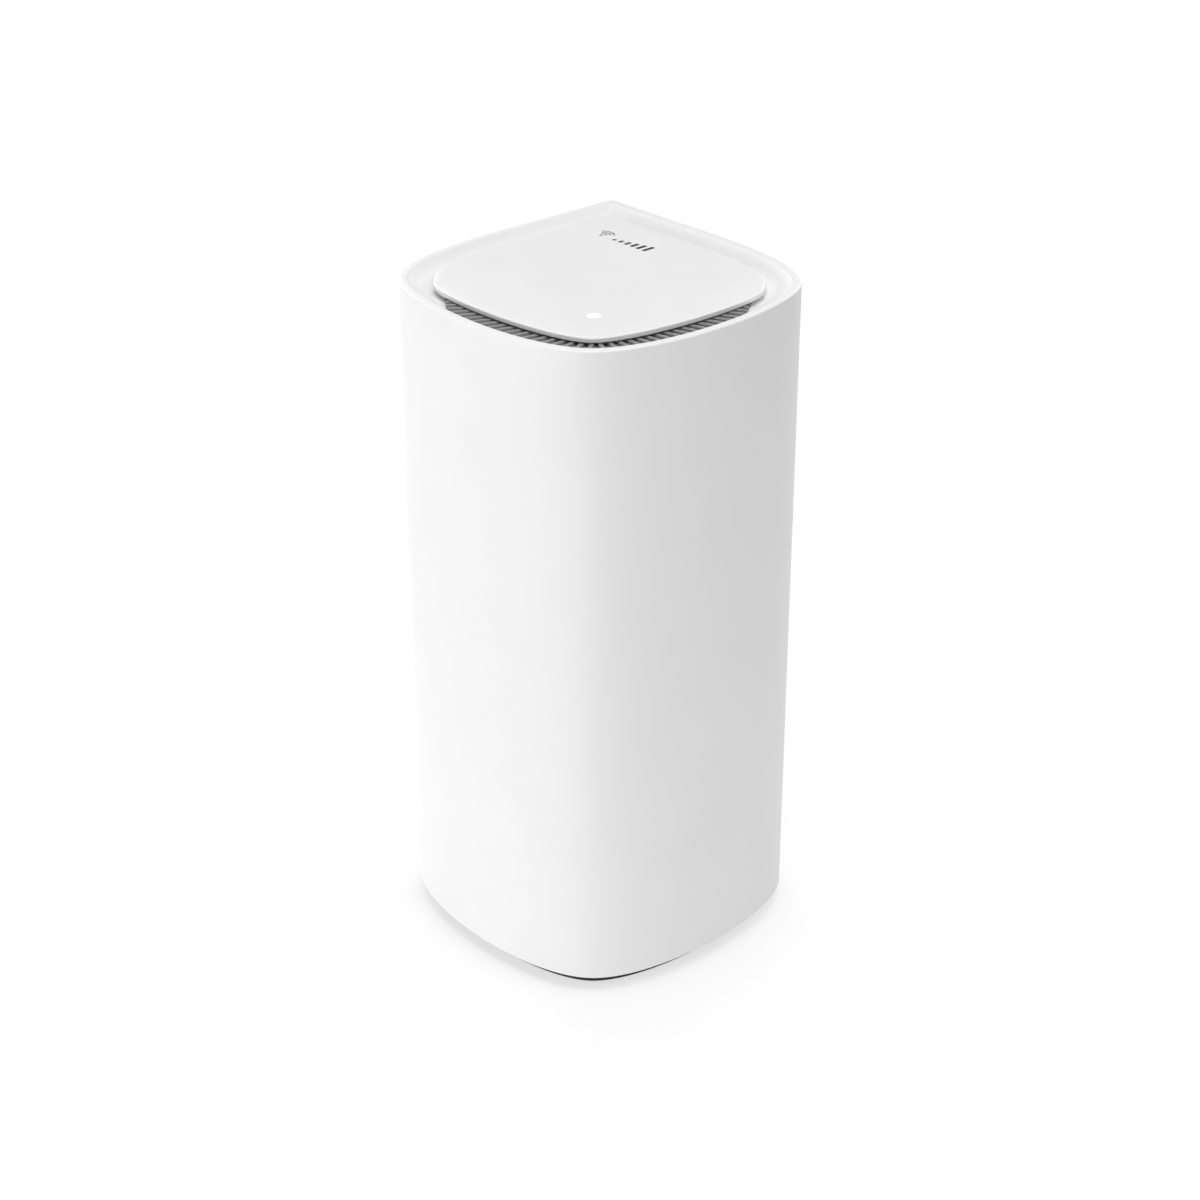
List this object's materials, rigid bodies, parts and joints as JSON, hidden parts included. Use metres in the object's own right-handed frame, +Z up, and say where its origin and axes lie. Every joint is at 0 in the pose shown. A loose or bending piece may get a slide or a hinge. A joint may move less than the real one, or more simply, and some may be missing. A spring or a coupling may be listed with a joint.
{
  "type": "mesh wifi node",
  "caption": "Free-standing white tower mesh wifi node with a floating top plate, ribbed air slot, recessed dark base, and network sockets, power inlet, rocker and buttons low in its rear face.",
  "frame": {"origin": "on the floor, under the middle of the bounding box", "axes": "+Z up along the tower, +Y out of the flat rear face with the sockets, -X out of the other flat face; the sharp corner is at -X +Y and the rounded nose with the status light is at +X -Y"},
  "size_m": [0.088, 0.088, 0.175],
  "materials": {
    "white_shell": "glossy white moulding",
    "white_cap": "glossy white plate",
    "dark_grille": "matte mid grey moulding",
    "dark_base": "matte black moulding",
    "rubber": "black rubber",
    "clear_lens": "frosted clear plastic",
    "led_yellow": "phosphor-coated light chip",
    "grey_chassis": "matte grey moulding",
    "board_green": "green solder mask",
    "chip_black": "black moulded plastic",
    "pad_blue": "soft blue pad",
    "aluminium": "plain aluminium",
    "tin_plate": "tin-plated steel",
    "copper_flex": "copper-coloured flexible film",
    "cable_grey": "grey cable jacket",
    "screw_steel": "plain steel",
    "button_white": "white plastic"
  },
  "bodies": {
    "casing": {"antenna_1": "copper_flex", "antenna_2": "copper_flex", "antenna_3": "copper_flex", "antenna_4": "copper_flex", "antenna_cable_1": "cable_grey", "antenna_cable_2": "cable_grey", "antenna_cable_3": "cable_grey", "antenna_cable_4": "cable_grey", "antenna_carrier": "grey_chassis", "base_cover": "dark_base", "base_screw_1": "screw_steel", "base_screw_2": "screw_steel", "base_screw_3": "screw_steel", "base_screw_4": "screw_steel", "cap_screw_1": "screw_steel", "cap_screw_2": "screw_steel", "cap_screw_3": "screw_steel", "chassis": "grey_chassis", "dc_jack": "chip_black", "foot_ring": "rubber", "heat_sink": "aluminium", "heat_sink_screw_1": "screw_steel", "heat_sink_screw_2": "screw_steel", "heat_sink_screw_3": "screw_steel", "heat_sink_screw_4": "screw_steel", "io_panel": "dark_base", "lan_jack_1": "tin_plate", "lan_jack_2": "tin_plate", "lan_jack_3": "tin_plate", "led_board": "board_green", "led_board_screw_1": "screw_steel", "led_board_screw_2": "screw_steel", "led_light_pipe": "clear_lens", "led_ribbon": "copper_flex", "main_board": "board_green", "memory_chip": "chip_black", "outer_shell": "white_shell", "pair_switch": "tin_plate", "power_switch_body": "chip_black", "processor_chip": "chip_black", "processor_pad": "pad_blue", "radio_chip_1": "chip_black", "radio_chip_2": "chip_black", "radio_pad_1": "pad_blue", "radio_pad_2": "pad_blue", "radio_shield_1": "tin_plate", "radio_shield_2": "tin_plate", "rear_heat_sink": "aluminium", "reset_switch": "tin_plate", "status_led": "led_yellow", "top_bezel": "white_shell", "top_cap": "white_cap", "vent_grille": "dark_grille", "wan_jack": "tin_plate"},
    "rocker": {"power_rocker": "button_white"},
    "pair": {"pair_button": "button_white"},
    "reset": {"reset_button": "button_white"}
  },
  "joints": [
    {"name": "rocker_tilt", "type": "hinge", "parent": "casing", "child": "rocker", "pos_m": [-0.007, 0.04, 0.0195], "axis": [0, 0, 1], "range_deg": [0, 14]},
    {"name": "pair_press", "type": "slide", "parent": "casing", "child": "pair", "axis": [0, -1, 0], "range_m": [0, 0.0005], "stiffness_N_per_m": 600},
    {"name": "reset_press", "type": "slide", "parent": "casing", "child": "reset", "axis": [0, -1, 0], "range_m": [0, 0.0005], "stiffness_N_per_m": 600}
  ]
}
